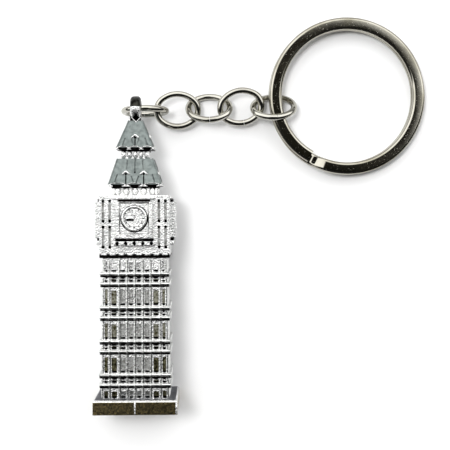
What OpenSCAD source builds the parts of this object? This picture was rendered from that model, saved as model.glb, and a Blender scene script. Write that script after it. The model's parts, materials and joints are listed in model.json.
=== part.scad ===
// Clock-tower souvenir on a short chain with a split key ring.
// The tower lies on its back on the table, its top towards +Y, the chain and the ring to the +X side.
// Millimetres. The origin is the middle of the plinth's foot, and the table lies under the tower
// at z = table_z.

/* [Plinth] */
// Side of the square plinth
plinth_w = 15.4; // [14.4:0.1:17]
// Height of the plinth
plinth_h = 2.7; // [1.5:0.05:4]
// Chamfer round the plinth's upper edge
plinth_chamfer = 0.3; // [0.1:0.05:0.5]

/* [Shaft] */
// Side of the shaft's lowest tier over its ribs
shaft_w = 12.2; // [11.6:0.1:12.6]
// How much narrower each tier of the shaft is than the one below
tier_step = 0.16; // [0:0.02:0.25]
// Length of the shaft from the plinth to the clock stage
shaft_h = 26.1; // [24.5:0.1:28]
// How deep the panels lie between the ribs
panel_depth = 0.35; // [0.2:0.05:0.6]
// Spacing of the five inner ribs
rib_pitch = 1.42; // [1.2:0.02:1.5]
// Width of a slim rib
rib_w = 0.5; // [0.3:0.05:0.7]
// Width of the main rib at each side of the inner ones
main_rib_w = 0.9; // [0.6:0.05:1.1]
// Distance of the outer rib from the middle of a face
outer_rib_x = 4.6; // [4.2:0.05:4.8]
// Width of the corner rib
corner_rib_w = 0.7; // [0.4:0.05:0.9]
// How far the string courses stand out from the ribs
course_out = 0.5; // [0.2:0.05:0.8]
// Height of one string course
course_h = 0.6; // [0.3:0.05:0.9]
// Height of the lowest course above the plinth, at its middle
course_start = 2.55; // [1:0.05:4]
// Distance between the two courses of a pair
course_gap = 1.82; // [1.2:0.02:2.4]
// Distance from one pair of courses to the next
course_pitch = 6.13; // [5.6:0.01:6.4]
// Number of pairs of courses
course_pairs = 4; // [2:1:4]

/* [Clock stage] */
// Side of the square clock stage
stage_w = 12.85; // [12.6:0.05:14]
// Height of the clock stage
stage_h = 11; // [10.8:0.1:13]
// Height of the corbel teeth under the clock stage
corbel_h = 0.8; // [0.4:0.05:1.2]
// Number of corbel teeth on a face
corbel_count = 11; // [7:1:13]
// Height of the cornice on top of the clock stage
cornice_h = 0.45; // [0.3:0.05:0.8]
// How far the cornice stands out
cornice_out = 0.12; // [0.05:0.01:0.3]
// Width of the clock frame
frame_w = 6.7; // [6:0.05:7.2]
// Height of the clock frame, its sill included
frame_h = 8.2; // [7.6:0.05:8.8]
// How far the clock frame stands out
frame_out = 1; // [0.4:0.05:1.1]
// Depth of the dial field below the frame
field_depth = 0.3; // [0.1:0.05:0.4]
// Width of the dial field
field_w = 5.5; // [5.2:0.05:5.8]
// Height of the dial field
field_h = 6; // [5.6:0.05:6.4]
// Outer radius of the dial's ring
dial_r = 2.25; // [1.8:0.05:2.5]
// Width of the dial's ring
dial_ring_w = 0.4; // [0.2:0.05:0.6]
// Width of the two clock hands
hand_w = 0.3; // [0.2:0.05:0.5]
// Length of the minute hand
minute_hand = 1.7; // [1.2:0.05:1.75]
// Length of the hour hand
hour_hand = 1.35; // [0.9:0.05:1.7]
// Width of one window slot
slot_w = 0.5; // [0.3:0.05:0.7]
// Length of one window slot
slot_h = 4.3; // [3.5:0.05:4.6]
// Depth of one window slot
slot_depth = 0.35; // [0.2:0.05:0.5]
// Distance of the inner slots from the middle of a face
slot_x = 4.45; // [4.2:0.05:4.6]
// Distance between the two slots side by side
slot_pitch = 1.15; // [0.9:0.05:1.3]

/* [Roofs] */
// Height of the belfry
belfry_h = 1.6; // [1:0.05:2.4]
// Width of the belfry over its columns
belfry_w = 8.4; // [7.8:0.05:9.2]
// Number of belfry columns on a face
belfry_columns = 5; // [4:1:6]
// Side of the lower roof at its eave
roof_eave_w = 9.85; // [9.5:0.05:11]
// Side of the lower roof at its top
roof_top_w = 6.5; // [6:0.05:7]
// Height of the lower roof
roof_h = 5.1; // [4.8:0.05:6.5]
// Distance of the two lower dormers from the middle of a face
dormer_x = 1.63; // [1.3:0.05:2.4]
// Height of a dormer, eave to peak
dormer_h = 2.75; // [2:0.05:3.4]
// Width of a dormer
dormer_w = 1.1; // [0.7:0.05:1.4]
// Height of the lantern between the roofs
lantern_h = 1.65; // [1:0.05:2.4]
// Width of the lantern over its columns
lantern_w = 5.3; // [5:0.05:5.8]
// Number of lantern columns on a face
lantern_columns = 7; // [5:1:8]
// Side of the spire at its eave
spire_eave_w = 7.1; // [6.6:0.05:8]
// Side of the spire at its top
spire_top_w = 2.5; // [2.2:0.05:3]
// Height of the spire
spire_h = 5.45; // [5:0.05:7]
// Thickness of both roofs' eaves
eave_h = 0.35; // [0.2:0.05:0.6]

/* [Eye] */
// Thickness of the ring eye
eye_t = 1.9; // [1.4:0.05:2.1]
// Outer radius of the ring eye
eye_r = 2.3; // [2.2:0.05:2.8]
// Radius of the hole in the eye
eye_bore_r = 1.2; // [1.1:0.05:1.4]
// Height of the hole's middle above the spire
eye_lift = 2.35; // [2.3:0.05:3]

/* [Chain] */
// Thickness of the link wire
wire_d = 1.2; // [1:0.05:1.3]
// Length of a link outside
link_l = 9.1; // [8.8:0.05:10]
// Width of a link outside
link_w = 7.4; // [7:0.05:7.6]
// Radius of a link's ends, at the middle of the wire
link_end_r = 2.65; // [2.5:0.05:2.75]
// Width of the butt joint where a link's wire was closed
seam_w = 0.06; // [0.04:0.01:0.15]
// Slack between the first link and the second, along the chain
first_play = 0.65; // [0.55:0.05:0.8]
// Slack between one link and the next, along the chain
link_play = 0.65; // [0.6:0.05:0.8]
// Slack between the two links nearest the ring
last_play = 0.45; // [0.4:0.05:0.6]
// Lean of the first link from the vertical
lean_1 = 7; // [0:1:10]
// Tilt of the third link from the table
tilt_3 = 41; // [36:1:45]
// Tilt of the fifth link from the table
tilt_5 = 48; // [45:1:55]

/* [Split ring] */
// Outer diameter of the split ring
ring_d = 30; // [26:0.5:36]
// Width of the ring's flat strip, seen from above
band_w = 2.4; // [2:0.05:2.8]
// Thickness of one coil of the strip
coil_t = 1.28; // [1.1:0.02:1.4]
// Air between the two coils
coil_gap = 0.04; // [0.03:0.01:0.08]
// Rounding of the strip's edges
band_round = 0.45; // [0.2:0.05:0.55]

/* [Hidden] */
$fn = 48;

// Heights of the tower's stages above its foot
stage_z = plinth_h + shaft_h;
belfry_z = stage_z + stage_h;
roof_z = belfry_z + belfry_h;
lantern_z = roof_z + roof_h;
spire_z = lantern_z + lantern_h;
spire_top_z = spire_z + spire_h;
eye_z = spire_top_z + eye_lift;
tier_z = [plinth_h, for (i = [0:course_pairs - 1]) plinth_h + course_start + course_gap / 2 + i * course_pitch,
          stage_z];
function tier_w(i) = shaft_w - i * tier_step;
top_core_w = tier_w(course_pairs) - 2 * panel_depth;
roof_slope = (roof_eave_w - roof_top_w) / 2 / roof_h;
spire_slope = (spire_eave_w - spire_top_w) / 2 / spire_h;
lap = 0.05;

// The clock frame sits a little under the cornice, and the lower part of it is a sill with a row of pits
frame_z = belfry_z - 1 - frame_h;
field_z = frame_z + frame_h - 0.25 - field_h;
dial_z = field_z + field_h / 2;
slot_top_z = belfry_z - cornice_h - 0.15;
slot_bridge = 0.4;
pit_w = 0.6;

// The tower lies on the plinth's back edge and on the back clock frame's upper edge
plinth_edge = plinth_h - plinth_chamfer;
frame_face = stage_w / 2 + frame_out;
rest_tilt = atan((plinth_w / 2 - frame_face) / (frame_z + frame_h - plinth_edge));
function lying(front, height) = [0, height * cos(rest_tilt) + front * sin(rest_tilt),
                                 front * cos(rest_tilt) - height * sin(rest_tilt)];
table_z = lying(-plinth_w / 2, plinth_edge)[2];
eye_at = lying(0, eye_z);

// A link is four arcs of wire: two round ends and two flatter sides that meet them without a corner
wire_r = wire_d / 2;
bend_r = (link_w - wire_d) / 2;
end_x = (link_l - wire_d) / 2 - link_end_r;
side_dip = (pow(end_x, 2) - pow(bend_r - link_end_r, 2)) / (2 * (bend_r - link_end_r));
side_r = bend_r + side_dip;
side_turn = atan(end_x / side_dip);

// The chain: every link starts from the end of the one before it
on_table = table_z + wire_r + 0.02;
pitch = link_l - 2 * wire_d;
first_step = pitch - first_play;
step = pitch - link_play;
last_step = pitch - last_play;
heading = [2.4, 4.1, 2.1, -1, 8.5];
link_turn = [0, 1, 2, 11, 6];
link_pitch = [7, 9, 0, -3, 8];
link_roll = [90 - lean_1, 7, -tilt_3, 7, -tilt_5];
link_lift = [0.33, 0.46, 0, 0.18, 0.04];
function along(from, distance, angle) = [from[0] + distance * cos(angle), from[1] + distance * sin(angle)];

// The first link's upper side runs through the middle of the eye's hole, its bend clear of the hole's edge
link_1_shift = 1.6;
link_1_side = 0.07;
link_1_xy = [link_1_shift, eye_at[1] - bend_r * sin(lean_1) + link_1_side];
link_2_xy = along(link_1_xy, first_step, heading[0]);
link_3_xy = along(link_2_xy, step, heading[1]);
link_4_xy = along(link_3_xy, step, heading[2]);
link_5_xy = along(link_4_xy, last_step, heading[3]);
link_3_z = on_table + bend_r * sin(tilt_3);
link_5_z = on_table + bend_r * sin(tilt_5);
link_at = [[link_1_xy[0], link_1_xy[1], eye_at[2] - bend_r * cos(lean_1) + link_lift[0]],
           [link_2_xy[0], link_2_xy[1], link_3_z + link_lift[1]],
           [link_3_xy[0], link_3_xy[1], link_3_z + link_lift[2]],
           [link_4_xy[0], link_4_xy[1], link_3_z + link_lift[3]],
           [link_5_xy[0], link_5_xy[1], link_5_z + link_lift[4]]];

// The split ring leans on the last link and lies on the table at its far side
ring_r = ring_d / 2;
ring_t = 2 * coil_t + coil_gap;
low_play = 0.28;
ring_tilt = asin((wire_d + low_play) / (2 * ring_r - band_w / 2));
end_angle = 238;
ramp_angle = [240.5, 256.5];
ramp_lap = 0.8;
end_gap = 2.5;
ring_bite = 0.74;
ring_xy = along(link_5_xy, ring_r - ring_bite, heading[4]);
ring_at = [ring_xy[0], ring_xy[1],
           table_z + 0.01 + ring_t / 2 * cos(ring_tilt) + ring_r * sin(ring_tilt)];

// A square block centred on the tower's axis
module slab(w, z, h) {
    translate([-w / 2, -w / 2, z]) cube([w, w, h]);
}

// A square block that tapers from w0 at its foot to w1 at its top
module frustum(w0, w1, z, h) {
    translate([0, 0, z]) intersection() {
        for_taper(w0, w1, h);
        rotate([0, 0, 90]) for_taper(w0, w1, h);
    }
}

// A trapezium from w0 to w1, run through along Y
module for_taper(w0, w1, h) {
    reach = max(w0, w1);
    translate([0, reach / 2, 0]) rotate([90, 0, 0]) linear_extrude(reach)
        polygon([[-w0 / 2, 0], [w0 / 2, 0], [w1 / 2, h], [-w1 / 2, h]]);
}

// The same thing on each of the four faces
module four_faces() {
    for (i = [0:3]) rotate([0, 0, 90 * i]) children();
}

// A block on the front face: centred on x, from depth near to depth far, from z upwards
module block(x, w, near, far, z, h) {
    translate([x - w / 2, -far, z]) cube([w, far - near, h]);
}

module plinth() {
    slab(plinth_w, 0, plinth_edge);
    frustum(plinth_w, plinth_w - 2 * plinth_chamfer, plinth_edge, plinth_chamfer);
}

module shaft() {
    for (i = [0:course_pairs]) tier(tier_w(i), tier_z[i] - lap, tier_z[i + 1] - tier_z[i] + 2 * lap);
    for (i = [0:course_pairs - 1], side = [-1, 1])
        slab(tier_w(i) + 2 * course_out, tier_z[i + 1] + side * course_gap / 2 - course_h / 2, course_h);
}

// One tier of the shaft: a core with upright ribs on each face and at each corner
module tier(w, z, h) {
    core = w - 2 * panel_depth;
    slab(core, z, h);
    four_faces() {
        for (i = [-1:1]) block(i * rib_pitch, rib_w, core / 2 - lap, w / 2, z, h);
        for (s = [-1, 1]) {
            block(s * 2 * rib_pitch, main_rib_w, core / 2 - lap, w / 2, z, h);
            block(s * outer_rib_x, rib_w, core / 2 - lap, w / 2, z, h);
        }
        translate([w / 2 - corner_rib_w, -w / 2, z]) cube([corner_rib_w, corner_rib_w, h]);
    }
}

// The clock frame's raised block, with its dial, on one face
module clock() {
    block(0, frame_w, stage_w / 2 - slot_depth, frame_face, frame_z, frame_h);
}

module dial() {
    field_face = frame_face - field_depth;
    translate([0, -field_face + lap, dial_z]) rotate([90, 0, 0]) difference() {
        cylinder(h = field_depth * 0.8 + lap, r = dial_r);
        translate([0, 0, -lap]) cylinder(h = field_depth + 3 * lap, r = dial_r - dial_ring_w);
    }
    block(0, hand_w, field_face - lap, field_face + field_depth * 0.6, dial_z - hand_w / 2, minute_hand + hand_w / 2);
    block(-hour_hand / 2, hour_hand, field_face - lap, field_face + field_depth * 0.6, dial_z - hand_w / 2, hand_w);
}

module stage() {
    slab(stage_w, stage_z, stage_h);
    slab(stage_w + 2 * cornice_out, belfry_z - cornice_h, cornice_h);
    tooth = stage_w / (2 * corbel_count - 1);
    four_faces() {
        clock();
        for (i = [0:corbel_count - 1])
            block((2 * i + 0.5) * tooth - stage_w / 2, tooth, top_core_w / 2 - lap, stage_w / 2 - 0.05,
                  stage_z - corbel_h, corbel_h + lap);
    }
}

// What is sunk into the clock stage: the dial fields, the window slots and the row of small pits
module stage_cuts() {
    four_faces() {
        block(0, field_w, frame_face - field_depth, frame_face + lap, field_z, field_h);
        for (s = [-1, 1], i = [0, 1], row = [0, 1])
            block(s * (slot_x + i * slot_pitch), slot_w, stage_w / 2 - slot_depth, stage_w / 2 + lap,
                  slot_top_z - slot_h - row * (slot_h + slot_bridge), slot_h);
        for (i = [-2:2])
            block(i * (frame_w - pit_w) / 4, pit_w, frame_face - field_depth, frame_face + lap, frame_z + 0.3, 0.35);
    }
}

// A row of small round columns round a square block
module colonnade(w, z, h, count, r) {
    pitch = (w - 2 * r) / (count - 1);
    slab(w - 2 * r, z - lap, h + 2 * lap);
    four_faces() for (i = [0:count - 2])
        translate([-w / 2 + r + i * pitch, -w / 2 + r, z - lap]) cylinder(h = h + 2 * lap, r = r, $fn = 24);
}

// A gabled dormer on the front slope, its face at the given distance from the axis
module dormer(x, face, z, w, h) {
    translate([x, 0, z]) rotate([90, 0, 0]) linear_extrude(face)
        polygon([[-w / 2, 0], [w / 2, 0], [w / 2, h * 0.62], [0, h], [-w / 2, h * 0.62]]);
}

module roofs() {
    colonnade(belfry_w, belfry_z, belfry_h, belfry_columns, 0.7);
    slab(roof_eave_w, roof_z, eave_h);
    frustum(roof_eave_w - 2 * eave_h * roof_slope, roof_top_w, roof_z + eave_h - lap, roof_h - eave_h + lap);
    four_faces() for (s = [-1, 1])
        dormer(s * dormer_x, roof_eave_w / 2 - roof_slope * dormer_h / 4, roof_z + eave_h - lap, dormer_w, dormer_h);
    colonnade(lantern_w, lantern_z, lantern_h, lantern_columns, 0.33);
    slab(spire_eave_w, spire_z, eave_h);
    frustum(spire_eave_w - 2 * eave_h * spire_slope, spire_top_w, spire_z + eave_h - lap, spire_h - eave_h + lap);
    four_faces()
        dormer(0, spire_eave_w / 2 - spire_slope * dormer_h / 4, spire_z + eave_h - lap, dormer_w, dormer_h * 0.95);
}

// The ring eye stands on the spire, and its hole runs through along X
module eye() {
    difference() {
        union() {
            translate([-eye_t / 2, 0, eye_z]) rotate([0, 90, 0]) cylinder(h = eye_t, r = eye_r);
            translate([-eye_t / 2, -spire_top_w / 2, spire_top_z - 1]) cube([eye_t, spire_top_w, eye_lift + 1]);
        }
        translate([-eye_t, 0, eye_z]) rotate([0, 90, 0]) cylinder(h = 2 * eye_t, r = eye_bore_r);
    }
}

module tower() {
    color("silver") rotate([-90 - rest_tilt, 0, 0]) {
        plinth();
        shaft();
        difference() {
            stage();
            stage_cuts();
        }
        four_faces() dial();
        roofs();
        eye();
    }
}

// A stretch of link wire bent to radius r, from angle a0 on through the angle turn
module bent_wire(r, a0, turn) {
    rotate([0, 0, a0]) rotate_extrude(angle = turn) translate([r, 0]) circle(r = wire_r, $fn = 32);
}

// An oval link of round wire in the XY plane, its long side along X, closed by a butt joint
module link() {
    difference() {
        union() {
            for (half = [0, 180]) rotate([0, 0, half]) {
                translate([end_x, 0, 0]) bent_wire(link_end_r, side_turn - 90, 180 - 2 * side_turn);
                translate([0, -side_dip, 0]) bent_wire(side_r, 90 - side_turn, 2 * side_turn);
            }
        }
        translate([-seam_w / 2, -bend_r - wire_d, -wire_d]) cube([seam_w, 2 * wire_d, 2 * wire_d]);
    }
}

module placed_link(i) {
    color("gainsboro") translate(link_at[i])
        rotate([0, 0, link_turn[i]]) rotate([0, link_pitch[i], 0]) rotate([link_roll[i], 0, 0]) link();
}

module chain_link_1() {
    placed_link(0);
}

module chain_link_2() {
    placed_link(1);
}

module chain_link_3() {
    placed_link(2);
}

module chain_link_4() {
    placed_link(3);
}

module chain_link_5() {
    placed_link(4);
}

// The strip's section, with round edges, at its place beside the ring's axis
module strip_section(z) {
    mid = ring_r - band_w / 2;
    long = band_w - 2 * band_round;
    high = coil_t - 2 * band_round;
    translate([mid - band_w / 2, z + band_round]) square([band_w, high]);
    translate([mid - long / 2, z]) square([long, coil_t]);
    for (sx = [-1, 1], sy = [0, 1])
        translate([mid + sx * long / 2, z + band_round + sy * high]) circle(r = band_round, $fn = 24);
}

// One flat turn of the strip, from one angle round to another
module coil(z, from, to) {
    rotate([0, 0, from]) rotate_extrude(angle = to - from) strip_section(z);
}

// Where the strip climbs from the lower turn to the upper one
module ramp() {
    middle = (ramp_angle[0] + ramp_angle[1]) / 2;
    sweep = ramp_angle[1] - ramp_angle[0];
    run = 2 * (ring_r - band_w / 2) * sin(sweep / 2);
    slope = atan((coil_t + coil_gap) / run);
    intersection() {
        rotate([0, 0, ramp_angle[0] - ramp_lap]) rotate_extrude(angle = sweep + 2 * ramp_lap)
            translate([ring_r - band_w, -ring_t / 2]) square([band_w, ring_t]);
        rotate([0, 0, middle]) rotate([slope, 0, 0])
            translate([ring_r - 2 * band_w, -run, -coil_t / 2]) cube([3 * band_w, 2 * run, coil_t]);
    }
}

module split_ring() {
    color("lightgray") translate(ring_at) rotate([0, ring_tilt, 0]) {
        coil(coil_gap / 2, ramp_angle[1], 360 + end_angle);
        coil(-coil_gap / 2 - coil_t, ramp_angle[1] + end_gap, 360 + ramp_angle[0]);
        ramp();
    }
}

tower();
chain_link_1();
chain_link_2();
chain_link_3();
chain_link_4();
chain_link_5();
split_ring();
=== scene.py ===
import json
import math

import bpy
from mathutils import Matrix, Vector


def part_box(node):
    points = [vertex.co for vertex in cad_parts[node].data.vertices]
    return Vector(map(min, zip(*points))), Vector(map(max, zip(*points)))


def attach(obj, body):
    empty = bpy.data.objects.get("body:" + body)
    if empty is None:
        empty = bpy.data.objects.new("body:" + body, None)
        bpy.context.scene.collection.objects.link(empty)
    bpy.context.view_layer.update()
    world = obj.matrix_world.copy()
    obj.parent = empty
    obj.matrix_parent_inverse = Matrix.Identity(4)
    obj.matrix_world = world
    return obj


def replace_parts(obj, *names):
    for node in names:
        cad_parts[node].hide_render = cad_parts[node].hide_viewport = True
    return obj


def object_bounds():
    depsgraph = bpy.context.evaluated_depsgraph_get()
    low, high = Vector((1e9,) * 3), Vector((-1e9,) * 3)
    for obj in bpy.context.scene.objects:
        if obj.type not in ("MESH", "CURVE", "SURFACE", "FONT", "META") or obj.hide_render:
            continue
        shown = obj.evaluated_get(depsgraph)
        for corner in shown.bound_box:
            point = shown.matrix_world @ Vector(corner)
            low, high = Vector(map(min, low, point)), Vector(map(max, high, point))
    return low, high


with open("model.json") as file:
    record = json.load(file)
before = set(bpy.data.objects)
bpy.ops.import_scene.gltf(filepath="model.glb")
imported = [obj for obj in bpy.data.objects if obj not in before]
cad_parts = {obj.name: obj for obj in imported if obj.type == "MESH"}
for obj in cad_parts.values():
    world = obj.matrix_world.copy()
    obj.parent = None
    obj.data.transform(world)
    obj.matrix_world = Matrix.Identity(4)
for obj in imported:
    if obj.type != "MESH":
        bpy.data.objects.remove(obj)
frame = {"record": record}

mm = 0.001  # the pieces are modelled standing up, in millimetres, and laid down in metres
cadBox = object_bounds()
tableZ = cadBox[0][2]
record = frame["record"]
mounts = {mount["name"]: mount for mount in record["mounts"]}
restTilt = math.asin(mounts["plinth_foot"]["axis"][2])
layMatrix = Matrix.Scale(mm, 4) @ Matrix.Rotation(-math.pi / 2 - restTilt, 4, "X")


def linearColour(hexValue):
    # sRGB hex to the linear colour that the shaders take
    parts = [int(hexValue[i:i + 2], 16) / 255 for i in (1, 3, 5)]
    return [c / 12.92 if c <= 0.04045 else ((c + 0.055) / 1.055) ** 2.4 for c in parts] + [1.0]


def addNode(tree, kind, values=None, links=None, **settings):
    node = tree.nodes.new(kind)
    for name, value in settings.items():
        setattr(node, name, value)
    for socket, value in (values or {}).items():
        node.inputs[socket].default_value = value
    for socket, source in (links or {}).items():
        tree.links.new(source, node.inputs[socket])
    return node


def selectOnly(*objects):
    bpy.ops.object.select_all(action="DESELECT")
    for obj in objects:
        obj.select_set(True)
    bpy.context.view_layer.objects.active = objects[0]


def applyModifier(obj, kind, **settings):
    selectOnly(obj)
    modifier = obj.modifiers.new(kind.title(), kind)
    for name, value in settings.items():
        setattr(modifier, name, value)
    bpy.ops.object.modifier_apply(modifier=modifier.name)


def soften(obj, width, steps=2, angle=30):
    # Rounds every edge sharper than angle
    applyModifier(obj, "BEVEL", width=width, segments=steps, limit_method="ANGLE",
                  angle_limit=math.radians(angle), use_clamp_overlap=True)
    return obj


def joinAll(parts, name):
    selectOnly(*parts)
    if len(parts) > 1:
        bpy.ops.object.join()
    obj = bpy.context.object
    obj.name = name
    obj.data.name = name
    return obj


def copyOf(obj):
    twin = obj.copy()
    twin.data = obj.data.copy()
    bpy.context.collection.objects.link(twin)
    return twin


def fourFaces(obj):
    # The same work on each of the tower's four faces
    turned = [obj]
    for quarter in (1, 2, 3):
        twin = copyOf(obj)
        twin.data.transform(Matrix.Rotation(quarter * math.pi / 2, 4, "Z"))
        turned.append(twin)
    return joinAll(turned, obj.name)


def cutAway(obj, cutters):
    tool = joinAll(cutters, "cutter")
    applyModifier(obj, "BOOLEAN", operation="DIFFERENCE", solver="EXACT", object=tool)
    bpy.data.objects.remove(tool)
    return obj


def settle(obj):
    selectOnly(obj)
    bpy.ops.object.transform_apply(location=True, rotation=True, scale=True)
    return obj


def block(size, centre):
    bpy.ops.mesh.primitive_cube_add(size=1, location=centre)
    obj = bpy.context.object
    obj.scale = size
    return settle(obj)


def faceBlock(x, width, near, far, z, height):
    # A block on the front face, from depth near to depth far, z upwards
    return block((width, far - near, height), (x, -(near + far) / 2, z + height / 2))


def rod(start, end, radius, sides=10):
    # A thin round bar from one point to another
    run = Vector(end) - Vector(start)
    bpy.ops.mesh.primitive_cylinder_add(vertices=sides, radius=radius, depth=run.length,
                                        location=(Vector(start) + Vector(end)) / 2,
                                        rotation=run.to_track_quat("Z", "Y").to_euler())
    return settle(bpy.context.object)


def taper(low, high, z, height):
    # A square block that narrows from low at its foot to high at its top
    bpy.ops.mesh.primitive_cone_add(vertices=4, radius1=low / math.sqrt(2), radius2=high / math.sqrt(2),
                                    depth=height, location=(0, 0, z + height / 2),
                                    rotation=(0, 0, math.pi / 4))
    return settle(bpy.context.object)


def slotCutter(x, z, width, height, face, depth, flare=0.0, roundTop=True):
    # A round-ended slot sunk into the front face; flare widens its mouth, as a casting's draft does
    bpy.ops.mesh.primitive_cylinder_add(vertices=18, radius=width / 2, depth=2 * depth,
                                        location=(x, -face, z + width / 2), rotation=(math.pi / 2, 0, 0))
    obj = settle(bpy.context.object)
    middle = z + width / 2
    for vertex in obj.data.vertices:
        if vertex.co.y < -face:
            vertex.co.x += flare * (1 if vertex.co.x > x else -1)
            vertex.co.z += flare * (1 if vertex.co.z > middle else -1)
        if vertex.co.z > middle:
            if not roundTop:
                vertex.co.z = middle
            vertex.co.z += height - width
    return obj


def finishPiece(obj, body, materials, place=layMatrix, smooth=35, pick=None):
    # Lays the piece in the frame, gives it its finishes and lets it ride on its body;
    # pick says from a face's centre which of the finishes it has
    if pick:
        kinds = [pick(face.center) for face in obj.data.polygons]
    obj.data.transform(place)
    for material in materials:
        obj.data.materials.append(material)
    if pick:
        obj.data.polygons.foreach_set("material_index", kinds)
    selectOnly(obj)
    bpy.ops.object.shade_smooth_by_angle(angle=math.radians(smooth))
    applyModifier(obj, "WEIGHTED_NORMAL", keep_sharp=True)
    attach(obj, body)
    return obj


# haze and speck are the parts of a noise's range that show as haze or as a worn spot, hollow how open a
# place may be before painted shade darkens it; wornRough is the roughness of the spots
metalSizes = {"haze": (0.4, 0.65), "speck": (0.72, 0.82), "hollow": (0.2, 0.8), "wornRough": 0.32}


def metalFinish(name, bright, dull, rough, roughDull, grain, bump, hollowShade=0.0, reach=0.5, shadeColour="#0d0c0a",
                specks=0.0, speckSize=0.3, patch=None):
    # bright and dull are the clean and the hazed plating, grain the size in mm of its unevenness,
    # bump how deep that is, patch the size of the hazed places, and specks how much of it is worn
    # rough in spots of speckSize
    m = metalSizes
    material = bpy.data.materials.new(name)
    material.use_nodes = True
    tree = material.node_tree
    tree.nodes.clear()
    coords = addNode(tree, "ShaderNodeTexCoord").outputs["Object"]
    uneven = addNode(tree, "ShaderNodeTexNoise",
                     {"Scale": 1 / (grain * mm), "Detail": 3.0, "Roughness": 0.6}, {"Vector": coords})
    haze = addNode(tree, "ShaderNodeTexNoise", {"Scale": 1 / ((patch or 4 * grain) * mm), "Detail": 2.0},
                   {"Vector": coords})
    hazeRange = addNode(tree, "ShaderNodeMapRange", {"From Min": m["haze"][0], "From Max": m["haze"][1]},
                        {"Value": haze.outputs["Fac"]})
    colour = addNode(tree, "ShaderNodeMix", {6: linearColour(bright), 7: linearColour(dull)},
                     {0: hazeRange.outputs["Result"]}, data_type="RGBA").outputs[2]
    roughness = addNode(tree, "ShaderNodeMapRange", {"To Min": rough, "To Max": roughDull},
                        {"Value": hazeRange.outputs["Result"]}).outputs["Result"]
    if specks:
        spots = addNode(tree, "ShaderNodeTexNoise", {"Scale": 1 / (speckSize * mm), "Detail": 2.0},
                        {"Vector": coords})
        worn = addNode(tree, "ShaderNodeMapRange",
                       {"From Min": m["speck"][0] - 0.3 * specks, "From Max": m["speck"][1] - 0.3 * specks},
                       {"Value": spots.outputs["Fac"]})
        roughness = addNode(tree, "ShaderNodeMix", {3: m["wornRough"]},
                            {0: worn.outputs["Result"], 2: roughness}).outputs[0]
    if hollowShade:
        # Painted shade: where ambient occlusion finds the place closed in, the colour is darkened towards
        # the shade colour
        hollow = addNode(tree, "ShaderNodeAmbientOcclusion", {"Distance": reach * mm}, samples=8,
                         only_local=True)
        depth = addNode(tree, "ShaderNodeMapRange",
                        {"From Min": m["hollow"][0], "From Max": m["hollow"][1], "To Min": hollowShade,
                         "To Max": 0.0},
                        {"Value": hollow.outputs["AO"]})
        colour = addNode(tree, "ShaderNodeMix", {7: linearColour(shadeColour)},
                         {0: depth.outputs["Result"], 6: colour}, data_type="RGBA").outputs[2]
    relief = addNode(tree, "ShaderNodeBump", {"Strength": 1.0, "Distance": bump * mm},
                     {"Height": uneven.outputs["Fac"]})
    shader = addNode(tree, "ShaderNodeBsdfPrincipled", {"Metallic": 1.0},
                     {"Base Color": colour, "Roughness": roughness, "Normal": relief.outputs["Normal"]})
    addNode(tree, "ShaderNodeOutputMaterial", links={"Surface": shader.outputs["BSDF"]})
    return material


# A finish given a share of dark in its hollows has them darkened by painted shade
# Zinc die casting, plated over a pebbly skin: silver white, with a glitter of small dents
pebbledCasting = metalFinish("pebbledPlatedCasting", "#f6f6f5", "#dcdddc", 0.15, 0.26, 0.28, 0.13,
                             hollowShade=0.98, reach=0.5)
# The same plating on the small rounded mouldings, smooth enough to show the room's dark side
polishedCasting = metalFinish("polishedPlatedMoulding", "#e4e5e3", "#c9cac8", 0.12, 0.2, 0.5, 0.05,
                              hollowShade=0.9, reach=0.35)
# The same plating over the sloping roofs, rough and satin with no clear reflections, and painted a darker
# grey: painted shade on the slopes
roofShadeCasting = metalFinish("roofPaintedShadePlating", "#7b8280", "#6c7371", 0.34, 0.46, 0.22, 0.08,
                           hollowShade=0.95, reach=0.35, patch=0.7)
# Painted shade, black and matt: in the deep hollows, under the courses, the stage and the eaves and round
# the dials; the printed hour marks are black in it too
shadeAndMarkBlack = metalFinish("paintedShadeAndMarkBlack", "#0e0d0c", "#090808", 0.5, 0.6, 0.3, 0.04)
# The plinth's sides, ground flat before plating: a dark mirror of the room, with worn spots
groundCasting = metalFinish("groundPlatedCasting", "#968a66", "#80734f", 0.18, 0.3, 0.4, 0.035,
                            hollowShade=0.5, specks=0.1, speckSize=0.4, patch=0.5)
# The plinth's upper face, painted dark blue grey as painted shade, the shadowed table that it mirrors; matt
ledgeShadeCasting = metalFinish("ledgePaintedShade", "#484a52", "#393a40", 0.4, 0.5, 0.5, 0.03, hollowShade=0.6)
# The bottoms of the middle panels and of the slots, painted mid grey as painted shade in the recess, a
# little rough
recessShadeCasting = metalFinish("recessPaintedShade", "#c9cac8", "#84847f", 0.26, 0.4, 0.25, 0.09, hollowShade=0.9,
                          reach=0.3, patch=0.6)
# The bottoms of the outer panels, olive and brown and darkened as painted shade in the recess, and on the
# two lowest tiers nearly black
outerPanelShadeCasting = metalFinish("outerPanelPaintedShade", "#a09f90", "#3f3a22", 0.28, 0.4, 0.3, 0.1,
                               hollowShade=0.9, reach=0.3, patch=0.5)
lowPanelShadeCasting = metalFinish("lowPanelPaintedShade", "#6d6a50", "#1c180c", 0.28, 0.4, 0.3, 0.1,
                             hollowShade=0.9, reach=0.3, patch=0.5)
# Bright nickel on drawn steel wire: warm and smooth as glass
nickelWire = metalFinish("nickelPlatedWire", "#b4b2a9", "#9f9c93", 0.05, 0.09, 1.2, 0.008)
# Bright nickel on rolled steel strip, scuffed by keys
nickelStrip = metalFinish("nickelPlatedStrip", "#adaa9f", "#8e8a7c", 0.06, 0.12, 1.5, 0.006,
                          specks=0.3, speckSize=0.25)
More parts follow.
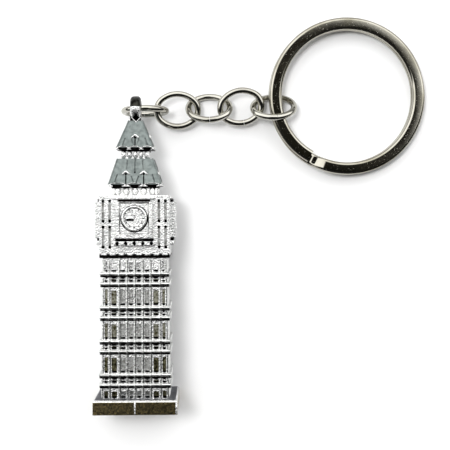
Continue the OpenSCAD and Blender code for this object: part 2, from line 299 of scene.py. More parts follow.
# The eye's crown, painted dark: a painted reflection of the dark side of the room
eyeDarkReflectionCasting = metalFinish("eyePaintedDarkReflection", "#33332f", "#0e0d0c", 0.28, 0.4, 0.4, 0.08, patch=0.8)
print("finishes made")

plinthSizes = {
    "width": 15.4, "height": 2.7, "chamfer": 0.3, "round": 0.12, "ridgeWidth": 0.34, "ridgeOut": 0.15,
    "flashWidth": 0.3, "flashOut": 0.04, "sunk": 0.2,
}


def makePlinth():
    p = plinthSizes
    half = p["width"] / 2
    body = block((p["width"], p["width"], p["height"]), (0, 0, p["height"] / 2))
    bpy.ops.object.mode_set(mode="EDIT")
    bpy.ops.mesh.select_mode(type="EDGE")
    bpy.ops.mesh.select_all(action="DESELECT")
    bpy.ops.object.mode_set(mode="OBJECT")
    for edge in body.data.edges:
        edge.select = all(body.data.vertices[v].co.z > p["height"] - 0.01 for v in edge.vertices)
    bpy.ops.object.mode_set(mode="EDIT")
    bpy.ops.mesh.bevel(offset=p["chamfer"], segments=1, affect="EDGES")
    bpy.ops.mesh.select_mode(type="VERT")
    bpy.ops.object.mode_set(mode="OBJECT")
    soften(body, p["round"], 3)
    # The flash line of the mould runs up the middle of the front
    ridge = faceBlock(0, p["ridgeWidth"], half - p["sunk"], half + p["ridgeOut"], 0.1, p["height"] - 0.2)
    soften(ridge, 0.09)
    # A second flash line, filed nearly flat, runs down its right corner
    flash = faceBlock(half - p["flashWidth"] * 0.7, p["flashWidth"], half - p["sunk"],
                      half + p["flashOut"], 0.08, p["height"] - p["chamfer"])
    soften(flash, 0.03)
    corner = half - p["round"] * 0.7

    def pick(at):
        # The ridges, the chamfer and the upright corners have the bright plating, and the upper face the
        # painted shade
        if at.y < -half - 0.005 or min(abs(at.x), abs(at.y)) > corner and at.z > 0.2:
            return 2
        if at.z > p["height"] - 0.02:
            return 1
        return 2 if at.z > p["height"] - p["chamfer"] * 1.1 else 0

    finishPiece(joinAll([body, ridge, flash], "towerPlinth"), "tower",
                [groundCasting, ledgeShadeCasting, pebbledCasting], pick=pick)


shaftSizes = {
    "width": 12.2, "step": 0.16, "pairs": 4, "round": 0.09, "panelDepth": 0.3, "topPanelDepth": 0.12,
    "ribPitch": 1.42, "rib": 0.6, "ribSink": 0.14, "mainRib": 0.66, "mainRibAt": 2.9678, "outerRib": 4.62,
    "outerRibRadius": 0.252, "cornerRib": 0.38, "courseOut": 0.5, "courseHeight": 0.56,
    "courseStart": 2.55, "courseGap": 1.82, "coursePitch": 6.13, "underHeight": 0.4, "pitHeight": 0.38,
    "pitDepth": 1.0, "cornerPitDepth": 0.46,
}
stageFoot = 28.8
corbelHeight = 0.8


def tierFoot(i):
    s = shaftSizes
    if i == 0:
        return plinthSizes["height"]
    if i > s["pairs"]:
        return stageFoot
    return plinthSizes["height"] + s["courseStart"] + s["courseGap"] / 2 + (i - 1) * s["coursePitch"]


def tierWidth(i):
    return shaftSizes["width"] - i * shaftSizes["step"]


def panelEdges(width):
    # Left and right edges of the sunk panels on the right half of a face
    s = shaftSizes
    ribs = [(0, s["rib"]), (s["ribPitch"], s["rib"]), (s["mainRibAt"], s["mainRib"]),
            (s["outerRib"], s["rib"])]
    edges = []
    for i, (x, rib) in enumerate(ribs):
        right = ribs[i + 1][0] - ribs[i + 1][1] / 2 if i < 3 else width / 2 - s["cornerRib"]
        edges.append((x + rib / 2, right))
    return edges


def makeTier(i):
    s = shaftSizes
    width = tierWidth(i)
    low, high = tierFoot(i), tierFoot(i + 1)
    tier = block((width, width, high - low), (0, 0, (low + high) / 2))
    halfGap, halfCourse = s["courseGap"] / 2, s["courseHeight"] / 2
    start = low + (halfGap + halfCourse if i > 0 else 0)
    stop = high - (halfGap + halfCourse + s["underHeight"] if i < s["pairs"] else corbelHeight)
    rows = [(start + 0.08, stop - start - 0.12)]
    if i > 0:
        rows.append((low + 0.05, halfGap - halfCourse - s["underHeight"] - 0.1))
    if i < s["pairs"]:
        rows.append((high - halfGap + halfCourse + 0.05, halfGap - halfCourse - 0.05))
    panels = []
    pits = []
    for z, height in rows:
        depth = s["topPanelDepth"] if i == s["pairs"] and height > 1.5 else s["panelDepth"]
        for left, right in panelEdges(width):
            wide = right - left
            deep = s["pitDepth"] if left < s["outerRib"] else s["cornerPitDepth"]
            for side in (-1, 1):
                x = side * (left + right) / 2
                panels.append(slotCutter(x, z, wide - 0.1, max(height, wide), width / 2, depth, 0.05,
                                         roundTop=False))
                # The foot of each panel is cut deepest, and painted black as shade
                pits.append(faceBlock(x, wide - 0.12, width / 2 - deep, width / 2 + 0.1, z + 0.02,
                                      s["pitHeight"]))
    cutAway(tier, [fourFaces(joinAll(panels, "panels"))])
    cutAway(tier, [fourFaces(joinAll(pits, "pits"))])
    return soften(tier, s["round"])


def makeShaft():
    s = shaftSizes
    shaft = joinAll([makeTier(i) for i in range(s["pairs"] + 1)], "towerShaft")

    def pick(at):
        # Deepest the pits, painted black as shade, then the panels, painted grey as shade in the middle, and
        # olive brown and darker at the sides, darkest on the two lowest tiers
        tier = sum(1 for i in range(1, s["pairs"] + 1) if at.z > tierFoot(i))
        out, across = max(abs(at.x), abs(at.y)), min(abs(at.x), abs(at.y))
        depth = tierWidth(tier) / 2 - out
        if depth > s["panelDepth"] + 0.05:
            return 3
        if depth < 0.2:
            return 0
        if across < 2 * s["ribPitch"] + s["mainRib"] / 2 or tier == s["pairs"]:
            return 1
        return 2 if tier > 1 else 4

    finishPiece(shaft, "tower", [pebbledCasting, recessShadeCasting, outerPanelShadeCasting, shadeAndMarkBlack,
                                            lowPanelShadeCasting], pick=pick)


def makeRibs():
    # Half-round ribs up the four faces, smooth enough to carry a dark line between two light ones
    s = shaftSizes
    ribs = []
    for i in range(s["pairs"] + 1):
        face = tierWidth(i) / 2 - s["ribSink"]
        low, high = tierFoot(i) + 0.02, tierFoot(i + 1) - (0.02 if i < s["pairs"] else corbelHeight)
        for x in [n * s["ribPitch"] for n in (-2, -1, 0, 1, 2)]:
            ribs.append(rod((x, -face, low), (x, -face, high), s["rib"] / 2, 18))
        for x in (-s["outerRib"], s["outerRib"], tierWidth(i) / 2 - s["cornerRib"] / 2):
            ribs.append(rod((x, -face, low), (x, -face, high), s["outerRibRadius"], 18))
    return finishPiece(fourFaces(joinAll(ribs, "towerRibs")), "tower", [polishedCasting])


# round, and a bracket's drop and height, are shares of the course's height, its width one of the rib's;
# inner brackets lie on the five slim ribs and outer ones on the rib at each side
courseSizes = {
    "round": 0.46, "shadowIn": 0.12, "shadowUp": 0.12, "bracketBack": 0.2, "bracketOut": 0.03,
    "bracketRound": 0.12, "inner": {"width": 0.7, "drop": 0.9, "height": 1.4},
    "outer": {"width": 0.9, "drop": 0.62, "height": 1.12},
}


def makeCourses():
    # Pairs of rounded courses round the shaft, each with a black strip of painted shadow below it
    s, c = shaftSizes, courseSizes
    ribs = [(n * s["ribPitch"], c["inner"]) for n in (-2, -1, 0, 1, 2)]
    ribs += [(sign * s["outerRib"], c["outer"]) for sign in (-1, 1)]
    parts = []
    courseShadows = []
    for i in range(s["pairs"]):
        width = tierWidth(i) + 2 * s["courseOut"]
        for side in (-1, 1):
            z = tierFoot(i + 1) + side * s["courseGap"] / 2
            slab = block((width, width, s["courseHeight"]), (0, 0, z))
            parts.append(soften(slab, s["courseHeight"] * c["round"], 5))
            under = width - 2 * c["shadowIn"]
            shade = block((under, under, s["underHeight"]),
                          (0, 0, z - (s["courseHeight"] + s["underHeight"]) / 2 + c["shadowUp"]))
            courseShadows.append(soften(shade, 0.1))
            # Each rib laps over the course as a small bracket
            brackets = []
            for x, share in ribs:
                brackets.append(faceBlock(x, s["rib"] * share["width"], tierWidth(i) / 2 - c["bracketBack"],
                                          width / 2 + c["bracketOut"], z - s["courseHeight"] * share["drop"],
                                          s["courseHeight"] * share["height"]))
            parts.append(soften(fourFaces(joinAll(brackets, "brackets")), c["bracketRound"], 3))
    finishPiece(joinAll(courseShadows, "towerCourseShadows"), "tower", [shadeAndMarkBlack])
    return finishPiece(joinAll(parts, "towerCourses"), "tower", [polishedCasting])


stageSizes = {
    "width": 12.85, "height": 11.0, "round": 0.2, "lobes": 8, "lobeWide": 0.72, "lobeDrop": 0.26,
    "lobeHeight": 0.6, "lobeBack": 0.55, "lobeOut": 0.02, "lobeRound": 0.22, "slotWidth": 0.42,
    "slotHeight": 4.1, "slotX": 4.45, "slotPitch": 1.2, "slotBridge": 0.62, "slotTop": 38.95,
    "slotDepth": 0.3, "slotFlare": 0.03, "pit": 0.56, "pitDepth": 0.9, "pitPast": 0.05, "underTop": 0.2,
    "underFoot": -0.42,
}


def makeStage():
    s = stageSizes
    half = s["width"] / 2
    foot = stageFoot + s["underTop"]
    height = s["height"] - s["underTop"]
    body = block((s["width"], s["width"], height), (0, 0, foot + height / 2))
    soften(body, s["round"], 4)
    slots = []
    pits = []
    for side in (-1, 1):
        for column in (0, 1):
            for row in (0, 1):
                x = side * (s["slotX"] + column * s["slotPitch"])
                z = s["slotTop"] - s["slotHeight"] - row * (s["slotHeight"] + s["slotBridge"])
                slots.append(slotCutter(x, z, s["slotWidth"], s["slotHeight"], half, s["slotDepth"],
                                        s["slotFlare"]))
                for end in (z - s["pitPast"], z + s["slotHeight"] - s["pit"] + s["pitPast"]):
                    pits.append(slotCutter(x, end, s["pit"], s["pit"], half, s["pitDepth"]))
    cutAway(body, [fourFaces(joinAll(slots, "slots"))])
    cutAway(body, [fourFaces(joinAll(pits, "pits"))])
    soften(body, 0.05)
    # Rounded lobes hang from its lower edge, over a black band of painted shadow
    lobes = []
    pitch = (s["width"] - 0.2) / s["lobes"]
    for i in range(s["lobes"]):
        lobes.append(faceBlock((i + 0.5) * pitch - half + 0.1, pitch * s["lobeWide"], half - s["lobeBack"],
                               half + s["lobeOut"], foot - s["lobeDrop"], s["lobeHeight"]))
    teeth = soften(fourFaces(joinAll(lobes, "lobes")), s["lobeRound"], 4)
    shade = block((s["width"] - 0.1, s["width"] - 0.1, s["underTop"] - s["underFoot"]),
                  (0, 0, stageFoot + (s["underTop"] + s["underFoot"]) / 2))
    finishPiece(joinAll([soften(shade, 0.12)], "towerStageShadow"), "tower", [shadeAndMarkBlack])

    def pick(at):
        # The pits are painted black and the floors of the slots painted grey, both as shade
        depth = half - max(abs(at.x), abs(at.y))
        if 0.34 < depth < 1 and at.z > foot + 0.6:
            return 2
        return 1 if 0.22 < depth <= 0.34 else 0

    return finishPiece(joinAll([body, teeth], "towerStage"), "tower",
                       [pebbledCasting, recessShadeCasting, shadeAndMarkBlack], pick=pick)


# back is how deep the frame's parts are set into the stage
frameSizes = {
    "width": 6.7, "height": 8.2, "below": 1.0, "out": 1.0, "back": 0.3, "round": 0.2, "fieldWidth": 5.5,
    "fieldHeight": 6.0, "fieldDepth": 0.45, "fieldLean": 0.5, "groove": 0.42, "sillHeight": 0.85,
    "sillWider": 0.6, "sillIn": 0.3, "arch": 0.68, "archUp": 0.12, "archDepth": 0.9,
    "mouldingHeight": 0.4, "mouldingWider": 0.9, "mouldingOut": 0.6,
}
dialSizes = {"middle": 35.6, "radius": 2.08, "bead": 0.28, "innerRadius": 1.45, "innerBead": 0.09,
             "shadeRingRadius": 2.36, "shadeRingBead": 0.13, "hand": 0.3, "handOut": 0.28, "minuteHand": 1.75,
             "hourHand": 1.45, "mark": 0.34, "markWidth": 0.16, "markOut": 0.06}


def dialBead(radius, bead, face):
    bpy.ops.mesh.primitive_torus_add(major_radius=radius, minor_radius=bead, major_segments=72,
                                     minor_segments=16, location=(0, -face, dialSizes["middle"]),
                                     rotation=(math.pi / 2, 0, 0))
    return settle(bpy.context.object)


def makeClocks():
    k, d = frameSizes, dialSizes
    half = stageSizes["width"] / 2
    face = half + k["out"]
    top = stageFoot + stageSizes["height"] - k["below"]
    foot = top - k["height"]
    panelFoot = foot + k["sillHeight"] + k["groove"]
    back = half - k["back"]
    panel = faceBlock(0, k["width"], back, face, panelFoot, top - k["groove"] / 2 - panelFoot)
    soften(panel, k["round"], 3)
    # The field's sides lean out towards the front
    sink = faceBlock(0, k["fieldWidth"] - 0.5, face - k["fieldDepth"], face + 0.5,
                     d["middle"] - k["fieldHeight"] / 2 + 0.3, k["fieldHeight"] - 0.6)
    for vertex in sink.data.vertices:
        if vertex.co.y < -face:
            vertex.co.x += k["fieldLean"] * (1 if vertex.co.x > 0 else -1)
            vertex.co.z += k["fieldLean"] * (1 if vertex.co.z > d["middle"] else -1)
    cutAway(panel, [sink])
    soften(panel, 0.05)
    # The sill under the clock, with five small arches in it
    sillFace = face - k["sillIn"]
    sill = faceBlock(0, k["width"] + k["sillWider"], back, sillFace, foot, k["sillHeight"])
    soften(sill, 0.12, 3)
    arches = [slotCutter(i * (k["width"] - 0.5) / 4, foot + k["archUp"], k["arch"], k["arch"], sillFace,
                         k["archDepth"]) for i in range(-2, 3)]
    cutAway(sill, arches)
    moulding = faceBlock(0, k["width"] + k["mouldingWider"], back, half + k["mouldingOut"],
                         top + k["groove"] / 2, k["mouldingHeight"])
    soften(moulding, 0.14, 3)
    # Above and below the panel and behind the arches, black blocks are painted shade, and so is a black ring
    # round the dial
    shadeBlocks = [faceBlock(0, k["width"] - 0.9, back, half + 0.5, top - 0.3, 0.6),
                faceBlock(0, k["width"] + 0.2, back, half + 0.6, foot + 0.75, k["groove"] + 0.2),
                faceBlock(0, k["width"] + 0.3, half - 0.2, half + 0.12, foot + 0.08, 0.72)]
    floor = face - k["fieldDepth"]
    # A black ring behind the dial's rim: painted shadow
    groove = dialBead(d["shadeRingRadius"], d["shadeRingBead"], floor + 0.05)
    groove.data.transform(Matrix.Translation((0.03, 0, -0.07)))
    marks = []
    markFoot = d["middle"] + d["radius"] - d["bead"] - d["mark"]
    for hour in range(12):
        mark = faceBlock(0, d["markWidth"], floor - 0.1, floor + d["markOut"], markFoot, d["mark"])
        turn = Matrix.Rotation(hour * math.pi / 6, 4, "Y")
        mark.data.transform(Matrix.Translation((0, 0, d["middle"])) @ turn
                            @ Matrix.Translation((0, 0, -d["middle"])))
        marks.append(mark)
    handShade = faceBlock(-d["hourHand"] / 2 - 0.1, d["hourHand"], floor - 0.1, floor + 0.1,
                          d["middle"] - d["hand"] - 0.2, 0.36)
    rings = [dialBead(d["radius"], d["bead"], floor + 0.05),
             dialBead(d["innerRadius"], d["innerBead"], floor + 0.02)]
    hands = [faceBlock(0.03, d["hand"], floor - 0.1, floor + d["handOut"], d["middle"] - 0.1,
                       d["minuteHand"]),
             faceBlock(-d["hourHand"] / 2, d["hourHand"], floor - 0.1, floor + d["handOut"],
                       d["middle"] - d["hand"] / 2, d["hand"])]
    for hand in hands:
        soften(hand, 0.07)
    frames = fourFaces(joinAll([panel, sill, moulding], "towerClockFrames"))
    # The sill's lower part behind the arches is painted black as shade
    finishPiece(frames, "tower", [pebbledCasting, shadeAndMarkBlack],
                pick=lambda at: int(at.z < foot + 0.7 and max(abs(at.x), abs(at.y)) < face - 0.55
                                    and min(abs(at.x), abs(at.y)) < k["width"] / 2))
    # The painted shade and the printed hour marks, in black
    hollows = fourFaces(joinAll(shadeBlocks + [groove, handShade] + marks, "towerClockShadesAndMarks"))
    finishPiece(hollows, "tower", [shadeAndMarkBlack])
    dials = fourFaces(joinAll(rings + hands, "towerDials"))
    return finishPiece(dials, "tower", [pebbledCasting])


roofSizes = {
    "belfryFoot": 39.8, "belfryHeight": 1.6, "belfryWidth": 8.6, "belfryPitch": 1.6, "belfryColumn": 0.62,
    "eave": 9.85, "top": 6.5, "height": 5.1, "eaveHeight": 0.34, "dormerX": 1.63, "dormerHeight": 2.75,
    "lanternHeight": 1.65, "lanternWidth": 5.3, "lanternPitch": 1.05, "lanternColumn": 0.44,
    "shadeHeight": 0.28,
    "spireEave": 7.1, "spireTop": 2.5, "spireHeight": 5.45, "hip": 0.12, "groove": 0.14, "archBead": 0.22,
    "archRise": 0.5, "wing": (0.9, 0.75, 0.3), "wingLean": 42, "wingOut": 0.34, "doorUp": 0.4,
    "door": (0.24, 1.6), "doorDepth": 0.45, "window": 0.42, "windowDrop": 0.75, "windowDepth": 0.5,
    "lineEnd": 0.34,
}


def columnRow(width, z, height, pitch, radius):
    # Five short swelling columns along each face, and a thinner one at each corner
    columns = []
    for x in [i * pitch for i in (-2, -1, 0, 1, 2)] + [-width / 2 + radius * 0.6]:
        thick = radius if abs(x) < 2.1 * pitch else radius * 0.6
        bpy.ops.mesh.primitive_uv_sphere_add(segments=20, ring_count=12, radius=thick,
                                             location=(x, -width / 2 + thick, z + height / 2))
        column = bpy.context.object
        column.scale = (1, 1, height / 2 / thick * 1.1)
        columns.append(settle(column))
    return fourFaces(joinAll(columns, "columns"))


def makeBelfries():
    r = roofSizes
    lanternFoot = r["belfryFoot"] + r["belfryHeight"] + r["height"]
    cores = []
    shades = []
    rows = []
    for foot, height, width, pitch, radius in (
            (r["belfryFoot"], r["belfryHeight"], r["belfryWidth"], r["belfryPitch"], r["belfryColumn"]),
            (lanternFoot, r["lanternHeight"], r["lanternWidth"], r["lanternPitch"], r["lanternColumn"])):
        core = width - 1.7 * radius  # the columns stand a little out of it
        cores.append(block((core, core, height + 0.2), (0, 0, foot + height / 2)))
        rows.append(columnRow(width, foot, height - r["shadeHeight"] / 2, pitch, radius))
        shade = block((width, width, r["shadeHeight"]), (0, 0, foot + height - r["shadeHeight"] / 2))
        shades.append(soften(shade, 0.08))
    finishPiece(joinAll(shades, "towerEaveShadows"), "tower", [shadeAndMarkBlack])
    return finishPiece(joinAll(rows + cores, "towerBelfries"), "tower", [pebbledCasting])


def archBead(x, z, radius, rise, bead, face):
    # A round bead bent over an arch, cut off level at its springing
    bpy.ops.mesh.primitive_torus_add(major_radius=radius, minor_radius=bead, major_segments=40,
                                     minor_segments=10, location=(x, -face, z),
                                     rotation=(math.pi / 2, 0, 0))
    arch = settle(bpy.context.object)
    for vertex in arch.data.vertices:
        vertex.co.z = z + (vertex.co.z - z) * rise / radius
    bpy.ops.object.mode_set(mode="EDIT")
    bpy.ops.mesh.select_all(action="SELECT")
    bpy.ops.mesh.bisect(plane_co=(0, 0, z), plane_no=(0, 0, 1), use_fill=True, clear_inner=True)
    bpy.ops.object.mode_set(mode="OBJECT")
    return arch


def makeRoof(name, foot, eave, top, height, dormers, line):
    # One roof with its eaves, its dormers, its hips and the grooves in its slopes
    r = roofSizes
    slope = (eave - top) / 2 / height
    eaveTop = foot + r["eaveHeight"]
    body = taper(eave - 2 * r["eaveHeight"] * slope, top, eaveTop, height - r["eaveHeight"])
    cutters = []
    for x in dormers:
        cutters.append(slotCutter(x, foot + r["doorUp"], *r["door"], eave / 2 - slope, r["doorDepth"]))
        cutters.append(slotCutter(x, foot + r["dormerHeight"] - r["windowDrop"], r["window"], r["window"],
                                  eave / 2 - slope * 2.4, r["windowDepth"]))
    if line:
        cutters.append(slotCutter(0, foot + line, r["lineEnd"], r["lineEnd"], eave / 2 - slope * line, 0.35))
    cutAway(body, [fourFaces(joinAll(cutters, "hollows"))])
    # Short lines scribed in the slopes: upright above the dormers, and slanting beside them
    grooves = []

    def scribe(x0, z0, x1, z1):
        grooves.append(rod((x0, slope * z0 - eave / 2, foot + z0), (x1, slope * z1 - eave / 2, foot + z1),
                           r["groove"], 6))

    for lean in (-1, 1):
        scribe(lean * (eave / 2 - 1.3), 0.8, lean * (eave / 2 - 1.75), 2.2)
        scribe(lean * 0.28, 0.7, lean * 0.7, 1.9)
        if line:
            scribe(lean * 1.55, r["dormerHeight"] + 0.4, lean * 1.4, height - 0.3)
    if line:
        scribe(0, line, 0, height)
    cutAway(body, [fourFaces(joinAll(grooves, "grooves"))])
    soften(body, 0.05)
    caps = []
    for x in dormers:
        z = foot + r["dormerHeight"]
        for side in (-1, 1):
            wingAt = (x + side * r["wingOut"], slope * 2.6 - eave / 2, z - 0.28)
            bpy.ops.mesh.primitive_cube_add(size=1, location=wingAt,
                                            rotation=(0, side * math.radians(r["wingLean"]), 0))
            wing = bpy.context.object
            wing.scale = r["wing"]
            caps.append(soften(settle(wing), 0.08))
    edge = block((eave, eave, r["eaveHeight"]), (0, 0, foot + r["eaveHeight"] / 2))
    reach = eave / 3 - 0.2
    hollows = [slotCutter(i * (reach + 0.05), foot - 0.62, reach * 0.82, reach * 0.82 + 0.1, eave / 2, 0.4)
               for i in (-1, 0, 1)]
    for hollow in hollows:
        for vertex in hollow.data.vertices:
            vertex.co.z = foot - 0.1 + (vertex.co.z - foot + 0.62) * 0.42
    cutAway(edge, [fourFaces(joinAll(hollows, "hollows"))])
    soften(edge, 0.09, 3)
    arches = [archBead(i * (reach + 0.05), foot + 0.12, reach / 2, r["archRise"], r["archBead"],
                       eave / 2 - 0.12) for i in (-1, 0, 1)]
    hip = rod((-(eave / 2 - slope * 0.4 - 0.04), -(eave / 2 - slope * 0.4 - 0.04), foot + 0.4),
              (-top / 2, -top / 2, foot + height), r["hip"])
    trim = [fourFaces(joinAll(caps + arches, "caps")), edge]

    def depthAt(at):
        return eave / 2 - slope * max(0, at.z - foot - r["eaveHeight"] / 2) - max(abs(at.x), abs(at.y))

    # The slopes take the darker roof plating, painted shade; doors, windows and grooves in them, and the
    # hollows under the eaves, are painted black as shade
    finishPiece(joinAll([body, fourFaces(hip)], name), "tower", [roofShadeCasting, shadeAndMarkBlack],
                pick=lambda at: int(depthAt(at) > 0.22 and at.z < foot + height - 0.1))
    finishPiece(joinAll(trim, name + "Trim"), "tower", [pebbledCasting, shadeAndMarkBlack],
                pick=lambda at: int(depthAt(at) > 0.3 and at.z < foot + r["eaveHeight"]))


eyeSizes = {"thickness": 2.0, "radius": 2.3, "bore": 1.2, "lift": 2.35, "round": 0.7, "dimple": 0.85,
            "rim": 0.14, "darkAbove": 0.2}


def makeEye():
    # The flat eye on the spire's tip, with a dimple punched in its foot
    r, e = roofSizes, eyeSizes
    spireTop = r["belfryFoot"] + r["belfryHeight"] + r["height"] + r["lanternHeight"] + r["spireHeight"]
    eyeZ = spireTop + e["lift"]
    bpy.ops.mesh.primitive_cylinder_add(vertices=64, radius=e["radius"], depth=e["thickness"],
                                        location=(0, 0, eyeZ), rotation=(0, math.pi / 2, 0))
    disc = soften(settle(bpy.context.object), e["round"], 5, 60)
    neck = block((e["thickness"], r["spireTop"], e["lift"] + 1), (0, 0, spireTop - 1 + (e["lift"] + 1) / 2))
    applyModifier(disc, "BOOLEAN", operation="UNION", solver="EXACT", object=neck)
    bpy.data.objects.remove(neck)
    bpy.ops.mesh.primitive_cylinder_add(vertices=48, radius=e["bore"], depth=e["thickness"] * 2,
                                        location=(0, 0, eyeZ), rotation=(0, math.pi / 2, 0))
    hole = settle(bpy.context.object)
    bpy.ops.mesh.primitive_cone_add(vertices=4, radius1=e["dimple"], radius2=0.0, depth=1.6,
                                    location=(0.1, -r["spireTop"] / 2, spireTop + 0.55),
                                    rotation=(-math.pi / 2, 0, 0))
    cutAway(disc, [hole, settle(bpy.context.object)])
    soften(disc, 0.12, 3, 40)
    # A square bead stands on its corner round the dimple
    bpy.ops.mesh.primitive_torus_add(major_radius=e["dimple"] * 0.95, minor_radius=e["rim"],
                                     major_segments=4, minor_segments=10, rotation=(math.pi / 2, 0, 0),
                                     location=(0.1, -r["spireTop"] / 2 - 0.02, spireTop + 0.55))
    rim = soften(settle(bpy.context.object), 0.05)

    def pick(at):
        # The dimple is painted black as shade, and the crown dark as a painted reflection
        inDimple = at.y < -0.25 and math.hypot(at.x - 0.1, at.z - spireTop - 0.55) < e["dimple"] * 0.6
        return 2 if inDimple else int(at.z > eyeZ + e["darkAbove"])

    return finishPiece(joinAll([disc, rim], "towerEye"), "tower",
                       [pebbledCasting, eyeDarkReflectionCasting, shadeAndMarkBlack], pick=pick)


makePlinth()
makeShaft()
makeRibs()
makeCourses()
makeStage()
makeClocks()
makeBelfries()
roofFoot = roofSizes["belfryFoot"] + roofSizes["belfryHeight"]
spireFoot = roofFoot + roofSizes["height"] + roofSizes["lanternHeight"]
makeRoof("towerRoof", roofFoot, roofSizes["eave"], roofSizes["top"], roofSizes["height"],
         (-roofSizes["dormerX"], roofSizes["dormerX"]), 2.4)
makeRoof("towerSpire", spireFoot, roofSizes["spireEave"], roofSizes["spireTop"], roofSizes["spireHeight"],
         (0,), 0)
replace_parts(makeEye(), "tower")
print("tower made")

# turn, pitch and roll are each link's angles about Z, then Y, then X
linkSizes = {"wire": 1.2, "length": 9.1, "width": 7.4, "endRadius": 2.65, "seam": 0.05,
             "turn": [0, 1, 2, 11, 6], "pitch": [7, 9, 0, -3, 8], "roll": [83, 7, -41, 7, -48]}


def makeLink(i):
    # A torus whose wire is led round four arcs instead of one: two round ends, two flatter sides
    k = linkSizes
    halfWidth = (k["width"] - k["wire"]) / 2
    endX = (k["length"] - k["wire"]) / 2 - k["endRadius"]
    sideDip = (endX ** 2 - (halfWidth - k["endRadius"]) ** 2) / (2 * (halfWidth - k["endRadius"]))
    sideTurn = math.atan2(endX, sideDip)
    bpy.ops.mesh.primitive_torus_add(major_radius=halfWidth, minor_radius=k["wire"] / 2, major_segments=96,
                                     minor_segments=24, rotation=(0, 0, math.pi / 96))
    obj = settle(bpy.context.object)
    for vertex in obj.data.vertices:
        angle = math.atan2(vertex.co.y, vertex.co.x)
        outward = math.hypot(vertex.co.x, vertex.co.y) - halfWidth
        if abs(math.cos(angle)) > math.sin(sideTurn):
            centre, radius = (math.copysign(endX, vertex.co.x), 0), k["endRadius"]
        else:
            centre, radius = (0, -math.copysign(sideDip, vertex.co.y)), halfWidth + sideDip
        vertex.co.x = centre[0] + (radius + outward) * math.cos(angle)
        vertex.co.y = centre[1] + (radius + outward) * math.sin(angle)
    cutAway(obj, [block((k["seam"], k["wire"] * 1.4, k["wire"] * 1.4), (0, -halfWidth, 0))])
    low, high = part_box("chain_link_%d" % (i + 1))
    turn, pitch, roll = [math.radians(k[key][i]) for key in ("turn", "pitch", "roll")]
    place = (Matrix.Translation((Vector(low) + Vector(high)) / 2) @ Matrix.Rotation(turn, 4, "Z")
             @ Matrix.Rotation(pitch, 4, "Y") @ Matrix.Rotation(roll, 4, "X") @ Matrix.Scale(mm, 4))
    obj.name = "linkWire%d" % (i + 1)
    finishPiece(obj, "chain_link_%d" % (i + 1), [nickelWire], place, 60)
    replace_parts(obj, "chain_link_%d" % (i + 1))


for i in range(5):
    makeLink(i)
print("chain made")

# Angles in degrees round the ring: the upper turn ends at end, and between the ramp's angles the strip
# climbs to it
ringSizes = {"diameter": 30.0, "band": 2.4, "coil": 1.28, "gap": 0.04, "round": 0.58, "end": 238,
             "rampFrom": 240.5, "rampTo": 251, "endGap": 2.5, "endInward": 0.3, "endSpring": 50}


def makeStripProfile():
    k = ringSizes
    profile = bpy.data.curves.new("stripProfile", "CURVE")
    profile.dimensions = "2D"
    points = []
    for quarter, (sx, sy) in enumerate(((1, 1), (-1, 1), (-1, -1), (1, -1))):
        for step in range(6):
            angle = math.radians(90 * quarter + 18 * step)
            points.append((sx * (k["band"] / 2 - k["round"]) + k["round"] * math.cos(angle),
                           sy * (k["coil"] / 2 - k["round"]) + k["round"] * math.sin(angle)))
    outline = profile.splines.new("POLY")
    outline.points.add(len(points) - 1)
    for point, (x, y) in zip(outline.points, points):
        point.co = (x, y, 0, 1)
    outline.use_cyclic_u = True
    obj = bpy.data.objects.new("stripProfile", profile)
    bpy.context.collection.objects.link(obj)
    return obj


def makeSplitRing():
    k = ringSizes
    rise = k["coil"] + k["gap"]
    radius = (k["diameter"] - k["band"]) / 2
    profile = makeStripProfile()
    path = bpy.data.curves.new("splitRingStrip", "CURVE")
    path.dimensions = "3D"
    path.twist_mode = "Z_UP"
    path.bevel_mode = "OBJECT"
    path.bevel_object = profile
    path.use_fill_caps = True
    route = path.splines.new("POLY")
    start = k["rampTo"] + k["endGap"]
    stop = 720 + k["end"]
    count = int((stop - start) / 2.5)
    route.points.add(count)
    for n, point in enumerate(route.points):
        angle = start + (stop - start) * n / count
        share = min(max((angle - 360 - k["rampFrom"]) / (k["rampTo"] - k["rampFrom"]), 0), 1)
        height = -rise / 2 + rise * share * share * (3 - 2 * share)
        spring = max(0, (angle - stop + k["endSpring"]) / k["endSpring"])
        reach = radius - k["endInward"] * spring ** 2
        turn = math.radians(angle)
        point.co = (reach * math.cos(turn), reach * math.sin(turn), height, 1)
    obj = bpy.data.objects.new("splitRingStrip", path)
    bpy.context.collection.objects.link(obj)
    selectOnly(obj)
    bpy.ops.object.convert(target="MESH")
    obj = bpy.context.object
    bpy.data.objects.remove(profile)
    soften(obj, 0.12, 2, 70)
    loop = mounts["key_ring_loop"]
    lean = math.atan2(loop["axis"][0], loop["axis"][2])
    place = Matrix.Translation(loop["pos_m"]) @ Matrix.Rotation(lean, 4, "Y") @ Matrix.Scale(mm, 4)
    finishPiece(obj, "split_ring", [nickelStrip], place, 40)
    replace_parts(obj, "split_ring")


makeSplitRing()
print("split ring made")


tableFinish = {"side": 3, "colour": "#f0f0f0", "roughness": 0.9}


def makeTable():
    # A wide sheet of smooth white card, matt, so that only the shadow shows on it
    bpy.ops.mesh.primitive_plane_add(size=tableFinish["side"], location=(0, 0, tableZ))
    table = bpy.context.object
    table.name = "table"
    material = bpy.data.materials.new("whiteCard")
    material.use_nodes = True
    shader = material.node_tree.nodes["Principled BSDF"]
    shader.inputs["Base Color"].default_value = linearColour(tableFinish["colour"])
    shader.inputs["Roughness"].default_value = tableFinish["roughness"]
    shader.inputs["Specular IOR Level"].default_value = 0.0
    table.data.materials.append(material)


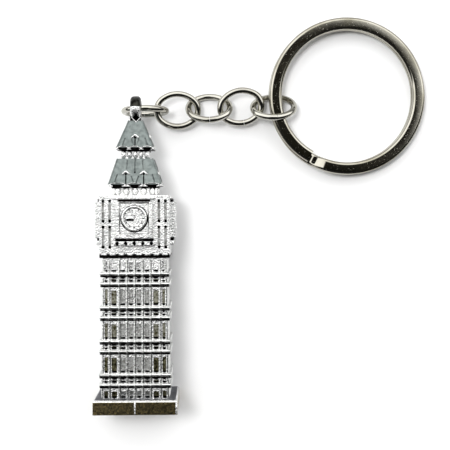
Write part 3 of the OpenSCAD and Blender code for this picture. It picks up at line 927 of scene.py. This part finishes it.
# Directions are cosines, and each pair of values is where an edge fades from dark to light. Most of the tent
# is dark, so at this strength the table gets about the light of an even white sky
tent = {"strength": 2.2, "shade": 0.015, "openingAt": (0.11, -0.02, 0.99), "openingEdge": (18, 10),
        "lightFrom": (-0.1, 0.99), "front": (-0.13, 0.05), "low": (0.2, 0.4), "opening": "#1b1a15"}


def makeTent():
    # A white tent, open above where the camera looks in, and dark in front and near the table
    world = bpy.data.worlds.new("lightTent")
    bpy.context.scene.world = world
    world.use_nodes = True
    tree = world.node_tree
    tree.nodes.clear()
    coords = addNode(tree, "ShaderNodeTexCoord").outputs["Generated"]
    parts = addNode(tree, "ShaderNodeSeparateXYZ", links={"Vector": coords})

    def cosineTo(direction):
        return addNode(tree, "ShaderNodeVectorMath", {1: Vector(direction).normalized()}, {0: coords},
                       operation="DOT_PRODUCT").outputs["Value"]

    edge = [math.cos(math.radians(angle)) for angle in tent["openingEdge"]]
    opening = addNode(tree, "ShaderNodeMapRange",
                      {"From Min": edge[0], "From Max": edge[1], "To Min": 1.0, "To Max": 0.0},
                      {"Value": cosineTo(tent["openingAt"])}, interpolation_type="SMOOTHSTEP")
    front = addNode(tree, "ShaderNodeMapRange",
                    {"From Min": tent["front"][0], "From Max": tent["front"][1], "To Min": tent["shade"],
                     "To Max": 1.0}, {"Value": cosineTo((*tent["lightFrom"], 0))},
                    interpolation_type="SMOOTHSTEP")
    low = addNode(tree, "ShaderNodeMapRange",
                  {"From Min": tent["low"][0], "From Max": tent["low"][1], "To Min": 0.1, "To Max": 1.0},
                  {"Value": parts.outputs["Z"]}, interpolation_type="SMOOTHSTEP")
    level = addNode(tree, "ShaderNodeMath", links={0: front.outputs["Result"], 1: low.outputs["Result"]},
                    operation="MULTIPLY")
    strength = addNode(tree, "ShaderNodeMath", {1: tent["strength"]}, {0: level.outputs["Value"]},
                       operation="MULTIPLY")
    colour = addNode(tree, "ShaderNodeMix", {6: linearColour(tent["opening"]), 7: linearColour("#ffffff")},
                     {0: opening.outputs["Result"]}, data_type="RGBA")
    light = addNode(tree, "ShaderNodeBackground", links={"Color": colour.outputs[2],
                                                         "Strength": strength.outputs["Value"]})
    addNode(tree, "ShaderNodeOutputWorld", links={"Surface": light.outputs["Background"]})


softbox = {"place": (-0.11, 0.12, 0.52), "target": (0.01, 0.04, 0), "side": 0.12, "power": 1.4}


def addSoftbox():
    bpy.ops.object.light_add(type="AREA", location=softbox["place"])
    lamp = bpy.context.object
    lamp.name = "keySoftbox"
    lamp.data.size = softbox["side"]
    lamp.data.energy = softbox["power"]
    lamp.visible_glossy = False  # behind a polariser: it throws the shadow but doesn't glare in the metal
    run = Vector(softbox["target"]) - Vector(softbox["place"])
    lamp.rotation_euler = run.to_track_quat("-Z", "Y").to_euler()


view = {"place": (12.58, 40.56, 206.84), "turn": (-1.77, -1.1, -0.22), "lens": 88.57}


def makeCamera():
    # Straight down on the table, a little past the tower's clock
    camera = bpy.data.cameras.new("camera")
    camera.lens = view["lens"]
    camera.sensor_width = 36
    camera.clip_start = 0.01
    obj = bpy.data.objects.new("camera", camera)
    bpy.context.collection.objects.link(obj)
    axis = Vector([math.radians(a) for a in view["turn"]])
    obj.matrix_world = (Matrix.Translation(Vector(view["place"]) * mm)
                        @ Matrix.Rotation(axis.length, 4, axis.normalized()))
    bpy.context.scene.camera = obj


makeTable()
makeTent()
addSoftbox()
makeCamera()
bpy.context.scene.view_settings.view_transform = "Standard"
print("stage set")
